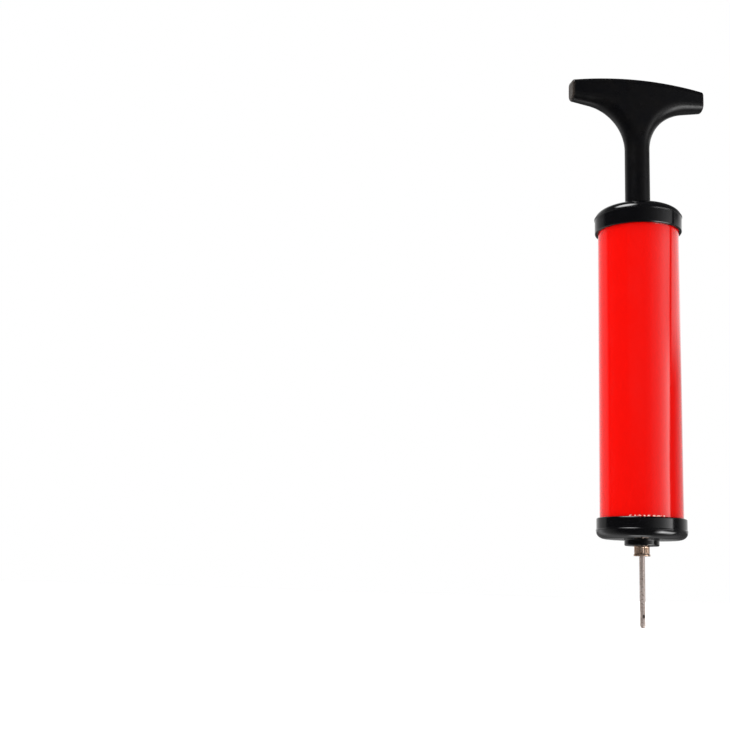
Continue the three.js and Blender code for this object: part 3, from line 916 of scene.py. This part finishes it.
def handle_field(points):
    """Signed distance, roughly, to the handle's surface: negative inside. Points in millimetres."""
    x, y, z = np.abs(points[:, 0]), points[:, 1], points[:, 2]
    along = (x - TANGENT_X) * math.cos(SLOPE) + (z - TANGENT_Z) * math.sin(SLOPE)
    below = (x - TANGENT_X) * math.sin(SLOPE) - (z - TANGENT_Z) * math.cos(SLOPE)
    under = np.where(along > 0, below, FLARE_R - np.hypot(x - FLARE_X, z - FLARE_Z))
    under = np.where((z < FLARE_Z) & (along <= 0), x - ROD_R, under)
    top_slope = 2 * (GRIP_CROWN - GRIP_END_TOP) * x / GRIP_HALF ** 2
    arch = (z - top_height(x)) / np.hypot(1, top_slope)
    depth = GRIP_END_DEPTH + (ROD_R - GRIP_END_DEPTH) * (1 - np.minimum(x / GRIP_HALF, 1) ** 2)
    reach = np.clip(x / GRIP_HALF, 0, 1)
    top_edge = TOP_EDGE[0] + (TOP_EDGE[1] - TOP_EDGE[0]) * reach ** 2
    field = both(under, np.abs(y) - depth, UNDER_EDGE * depth)
    field = both(arch, field, top_edge)
    field = both(field, x - GRIP_HALF, END_EDGE)
    return both(field, ROD_FOOT - z, FOOT_EDGE)


def handle_cage():
    """Coarse quad cage: a two-by-two column for the rod, and arms two cells high and deep.

    Its corners are named by whole numbers (i, j, k) along X, Y and Z.
    """
    rows = [ROD_FOOT + rise for rise in (0, 0.6, 3, 30, 60, 90, 112)]
    rows += [FLARE_Z + rise for rise in (-3, 1.5, 5, 8.5)]
    columns = [0, 9.5, 13, 17, 21, 24, 26.0, GRIP_HALF]
    grip_row = len(rows)
    taper = 0.25  # share of its depth that an arm loses towards its end

    def position(i, j, k):
        side = (i > 0) - (i < 0)
        if k < grip_row:
            z = rows[k]
            half = ROD_R if z < FLARE_Z else FLARE_X - math.sqrt(FLARE_R ** 2 - (z - FLARE_Z) ** 2)
            return (side * half, (j - 1) * ROD_R, z)
        x = columns[abs(i)]
        y = (j - 1) * ROD_R * (1 - taper * x / GRIP_HALF)
        foot = float(underside_height(np.array(max(x, columns[1]))))
        share = (k - grip_row) / 2
        return (side * x, y, foot + share * (float(top_height(x)) - foot))

    cells = [(i, j, k) for k in range(grip_row) for i in (-1, 0) for j in (0, 1)]
    arms = len(columns) - 1
    cells += [(i, j, grip_row + k) for k in (0, 1) for i in range(-arms, arms) for j in (0, 1)]
    corners = [(i, j, k) for k in (0, 1) for i, j in ((0, 0), (1, 0), (1, 1), (0, 1))]
    sides = [(0, 3, 2, 1), (4, 5, 6, 7), (0, 1, 5, 4), (1, 2, 6, 5), (2, 3, 7, 6), (3, 0, 4, 7)]
    faces = {}
    for i, j, k in cells:
        for side in sides:
            face = [(i + corners[c][0], j + corners[c][1], k + corners[c][2]) for c in side]
            faces.setdefault(tuple(sorted(face)), []).append(face)
    bm = bmesh.new()
    verts = {}
    for found in faces.values():
        if len(found) > 1:  # between two cells
            continue
        for key in found[0]:
            if key not in verts:
                verts[key] = bm.verts.new([c * MM for c in position(*key)])
        bm.faces.new([verts[key] for key in found[0]])
    bmesh.ops.recalc_face_normals(bm, faces=bm.faces)
    return finished(bm, "handle_cage")


def subdivided(mesh, levels):
    """The mesh after that many levels of subdivision."""
    holder = linked("holder", mesh)
    modifier = holder.modifiers.new("subdivide", "SUBSURF")
    modifier.levels = levels
    result = evaluated(holder)
    bpy.data.objects.remove(holder)
    return result


def settle_on_field(mesh, field, rounds=12):
    """Moves every vertex along the field's slope until it lies on the surface."""
    points = np.empty(len(mesh.vertices) * 3)
    mesh.vertices.foreach_get("co", points)
    points = points.reshape(-1, 3) / MM
    step = 0.002
    least = 0.2  # keeps the moves short where the slope is small
    for _ in range(rounds):
        rises = [field(points + step * axis) - field(points - step * axis) for axis in np.eye(3)]
        slope = np.stack([rise / (2 * step) for rise in rises], axis=1)
        steepness = np.maximum((slope ** 2).sum(1), least)
        points -= (field(points) / steepness)[:, None] * slope
    mesh.vertices.foreach_set("co", (points * MM).ravel())
    mesh.update()


def make_handle():
    """Grip, neck and rod in one moulding, cored from the foot of the rod."""
    mesh = subdivided(handle_cage(), levels=3)
    settle_on_field(mesh, handle_field)
    core_r = 3.0
    core_foot, core_top = ROD_FOOT - 2, FLARE_Z + 11.7
    outline = rounded([
        (0, core_foot), (core_r, core_foot), (core_r, core_top, 1.0), (0, core_top),
    ], closed=False)
    core = turned("core", outline, sides=48, closed=False)
    piece("handle_fine", cut(mesh, [core]), "plunger", "handle", ["handle_and_rod"], sharp=40)


# ---- Stage, light and camera -------------------------------------------------------------------

CAMERA_AT = Vector((-169.6, -412.6, 10.6)) * MM
CAMERA_TURN = (-9.07, 10.724, 1.807)  # yaw, rise and roll in degrees
CAMERA_LENS = 58.48
SENSOR = 36.0
NEEDLE_ROOM = 0.008  # from the tip of the needle down to the floor, in metres
FILL_SIZE = 1.0  # side of each fill light, in metres
FILL_DISTANCE = 1.4  # from the middle of the pump to each fill light, in metres
DIFFUSE_LIGHT = 0.3  # radiance of the world for light that is scattered, in place of the studio
BACKDROP = 1.0  # radiance of the world where the camera sees it


def make_camera():
    camera = bpy.data.cameras.new("camera")
    camera.lens = CAMERA_LENS
    camera.sensor_width = SENSOR
    camera.clip_start = 0.01
    obj = linked("camera", camera)
    yaw, rise, roll = (math.radians(a) for a in CAMERA_TURN)
    turn = (Euler((0, 0, yaw)).to_matrix() @ Euler((math.pi / 2 + rise, 0, 0)).to_matrix()
            @ Euler((0, 0, roll)).to_matrix())
    obj.matrix_world = turn.to_4x4()
    obj.location = CAMERA_AT
    bpy.context.scene.camera = obj


def make_floor():
    """Plain white floor, low enough to leave room for the needle as it is screwed out."""
    mesh = bpy.data.meshes.new("floor")
    half = 6.0
    corners = [(-half, -half, 0), (half, -half, 0), (half, half, 0), (-half, half, 0)]
    mesh.from_pydata(corners, [], [(0, 1, 2, 3)])
    floor = linked("floor", mesh)
    floor.location.z = CAD_BOX[0][2] - NEEDLE_ROOM
    finish = Finish("floor", (0.9, 0.9, 0.9), roughness=0.9)
    finish.vary_roughness(finish.noise(40), spread=0.05)
    finish.shader.inputs["Emission Color"].default_value = (1, 1, 1, 1)
    distance = finish.nodes.new("ShaderNodeVectorMath")
    distance.operation = "LENGTH"
    finish.links.new(finish.place, distance.inputs[0])
    near, far = 0.25, 0.9  # metres from the axis
    glow = finish.remap(distance.outputs["Value"], near, far, to_low=0.45, to_high=1.1)
    finish.links.new(glow, finish.shader.inputs["Emission Strength"])
    floor.data.materials.append(finish.material)
    floor.visible_glossy = False


def make_world():
    """Studio seen in reflections: dark in front, a graded light on the right and white behind.

    Azimuths are measured from the camera's direction and rise to its right. Heights are the sine
    of the angle of rise.
    """
    world = bpy.data.worlds.new("studio")
    bpy.context.scene.world = world
    world.use_nodes = True
    nodes, links = world.node_tree.nodes, world.node_tree.links
    nodes.clear()

    def math_node(operation, a, b=None, c=None):
        node = nodes.new("ShaderNodeMath")
        node.operation = operation
        for socket, value in zip(node.inputs, (a, b, c)):
            if value is None:
                continue
            if isinstance(value, (int, float)):
                socket.default_value = value
            else:
                links.new(value, socket)
        return node.outputs[0]

    def dot(vector):
        node = nodes.new("ShaderNodeVectorMath")
        node.operation = "DOT_PRODUCT"
        links.new(direction, node.inputs[0])
        node.inputs[1].default_value = vector
        return node.outputs["Value"]

    def ramp(value, stops):
        """Radiance by angle: stops are (degrees, radiance), from -180 to 180."""
        node = nodes.new("ShaderNodeValToRGB")
        share = math_node("MULTIPLY_ADD", value, 1 / (2 * math.pi), 0.5)
        links.new(share, node.inputs["Fac"])
        elements = node.color_ramp.elements
        while len(elements) < len(stops):
            elements.new(0.5)
        for element, (angle, radiance) in zip(elements, stops):
            element.position = (angle + 180) / 360
            element.color = (radiance, radiance, radiance, 1)
        return node.outputs["Color"]

    def mix(factor, a, b, blend="MIX"):
        node = nodes.new("ShaderNodeMix")
        node.data_type = "RGBA"
        node.blend_type = blend
        for name, value in (("Factor", factor), ("A", a), ("B", b)):
            socket = node.inputs[name]
            if not isinstance(value, (int, float)):
                links.new(value, socket)
            elif name == "Factor":
                socket.default_value = value
            else:
                socket.default_value = (value, value, value, 1)
        return node.outputs["Result"]

    def mix_number(factor, a, b):
        node = nodes.new("ShaderNodeMix")
        links.new(factor, node.inputs["Factor"])
        node.inputs["A"].default_value = a
        links.new(b, node.inputs["B"])
        return node.outputs["Result"]

    def step(value, start, end):
        """Rises smoothly from zero at start to one at end."""
        node = nodes.new("ShaderNodeMapRange")
        node.interpolation_type = "SMOOTHSTEP"
        node.inputs["From Min"].default_value = start
        node.inputs["From Max"].default_value = end
        links.new(value, node.inputs["Value"])
        return node.outputs["Result"]

    direction = nodes.new("ShaderNodeTexCoord").outputs["Generated"]
    front = Vector((CAMERA_AT.x, CAMERA_AT.y, 0)).normalized()
    right = Vector((-front.y, front.x, 0))
    level_azimuth = math_node("ARCTAN2", dot(right), dot(front))
    height = dot((0, 0, 1))
    # above the horizon, the light on the right leans: the higher, the further round it is
    lean_slope, lean_level, lean_most = -1.016, 1.157, 1.05
    lean = math_node("MULTIPLY_ADD", height, lean_slope, lean_level)
    lean = math_node("MINIMUM", lean, lean_most)
    on_right = step(level_azimuth, 0.0, 0.3)
    azimuth = math_node("MULTIPLY", level_azimuth, mix_number(on_right, 1.0, lean))

    left = [(-180, 1.0), (-150, 0.8), (-130, 0.5), (-104, 0.4), (-97, 0.05), (-20, 0.05),
            (10, 0.08), (27, 0.185), (36, 0.36), (44, 0.48), (53, 0.72), (62, 1.2)]
    low_ring = ramp(azimuth, left + [
        (72, 2.0), (84, 3.6), (88, 3.2), (89, 0.1), (106, 0.1), (120, 0.3), (140, 0.68),
        (180, 1.0)])
    high_ring = ramp(azimuth, left + [
        (72, 1.5), (86, 1.3), (87.5, 0.06), (93, 0.06), (96, 1.2), (140, 1.3), (180, 1.2)])
    faded_ring = ramp(azimuth, [
        (-180, 0.9), (-130, 0.4), (-104, 0.2), (-97, 0.05), (0, 0.04), (36, 0.15), (60, 0.38),
        (84, 0.6), (86, 0.05), (106, 0.06), (118, 0.4), (140, 0.8), (180, 0.9)])
    upper = ramp(azimuth, [
        (-180, 0.9), (-120, 0.5), (-95, 0.15), (-60, 0.04), (40, 0.04), (90, 0.12), (140, 0.6),
        (180, 0.9)])
    overhead = 0.08
    above = low_ring
    for start, end, layer in (
        (0.17, 0.23, high_ring),
        (0.287, 0.305, faded_ring),
        (0.35, 0.41, upper),
        (0.5, 0.8, overhead),
    ):
        above = mix(step(height, start, end), above, layer)

    below = ramp(level_azimuth, [
        (-180, 0.12), (-150, 0.25), (-125, 1.2), (-105, 0.55), (-60, 0.06), (0, 0.05), (98, 0.2),
        (120, 0.3), (150, 0.15), (180, 0.12)])
    low_light = ramp(level_azimuth, [
        (34, 0.0), (42, 3.0), (54, 15.0), (68, 11.0), (90, 6.5), (98, 0.0)])
    deep = ramp(level_azimuth, [
        (-180, 0.6), (-120, 0.7), (-80, 0.3), (-40, 0.08), (40, 0.1), (100, 0.4), (140, 0.6),
        (180, 0.6)])
    low_window = math_node("MULTIPLY", step(height, -0.14, -0.36), step(height, -0.985, -0.93))
    below = mix(low_window, below, mix(1.0, below, low_light, blend="ADD"))
    below = mix(step(height, -0.4, -0.8), below, deep)

    studio = mix(step(height, 0.0, -0.05), above, below)
    # round lights: aimed to the right, to the front and up, with inner and outer angles in degrees
    for aim, inner, outer, radiance in (
        ((-0.37, 0.3, 0.88), 9, 23, 12.0),
        ((-0.03, -0.3, -0.95), 7, 13, 3.0),
    ):
        axis = (right * aim[0] + front * aim[1] + Vector((0, 0, aim[2]))).normalized()
        inside = step(dot(axis), math.cos(math.radians(outer)), math.cos(math.radians(inner)))
        studio = mix(inside, studio, radiance)
    paths = nodes.new("ShaderNodeLightPath").outputs
    studio = mix(paths["Is Diffuse Ray"], studio, DIFFUSE_LIGHT)
    studio = mix(paths["Is Camera Ray"], studio, BACKDROP)
    background = nodes.new("ShaderNodeBackground")
    links.new(studio, background.inputs["Color"])
    output = nodes.new("ShaderNodeOutputWorld")
    links.new(background.outputs["Background"], output.inputs["Surface"])


def make_fill_lights():
    """Large soft lights all round that light the colours and leave reflections to the studio.

    Each has an azimuth, as in the studio, a rise in degrees and a power in watts.
    """
    centre = Vector((0, 0, CAD_BOX[1][2] * 0.55))
    for name, azimuth, rise, power in (
        ("fill_front", -10, 25, 9.0),
        ("fill_right", 75, 20, 9.0),
        ("fill_left", -95, 20, 8.0),
        ("fill_back", 180, 25, 9.0),
        ("fill_top", 0, 88, 7.0),
    ):
        light = bpy.data.lights.new(name, "AREA")
        light.shape = "SQUARE"
        light.size = FILL_SIZE
        light.energy = power
        obj = linked(name, light)
        facing = math.atan2(CAMERA_AT.y, CAMERA_AT.x) + math.radians(azimuth)
        lift = math.radians(rise)
        level = math.cos(lift)
        away = Vector((math.cos(facing) * level, math.sin(facing) * level, math.sin(lift)))
        obj.location = centre + away * FILL_DISTANCE
        obj.rotation_euler = away.to_track_quat("Z", "Y").to_euler()
        obj.visible_glossy = False
        obj.visible_camera = False


# ---- Everything together -----------------------------------------------------------------------

make_camera()
make_world()
make_fill_lights()
make_floor()
make_barrel_tube()
make_bottom_cap()
make_top_cap()
make_rod_guide()
make_seals()
make_valve_plug()
make_valve_poppet()
make_valve_spring()
make_needle_base()
make_needle_tube()
make_needle_insert()
make_piston_head()
make_piston_retainer()
make_piston_washer()
make_piston_screw()
make_handle()
bpy.context.scene.view_settings.view_transform = "Standard"
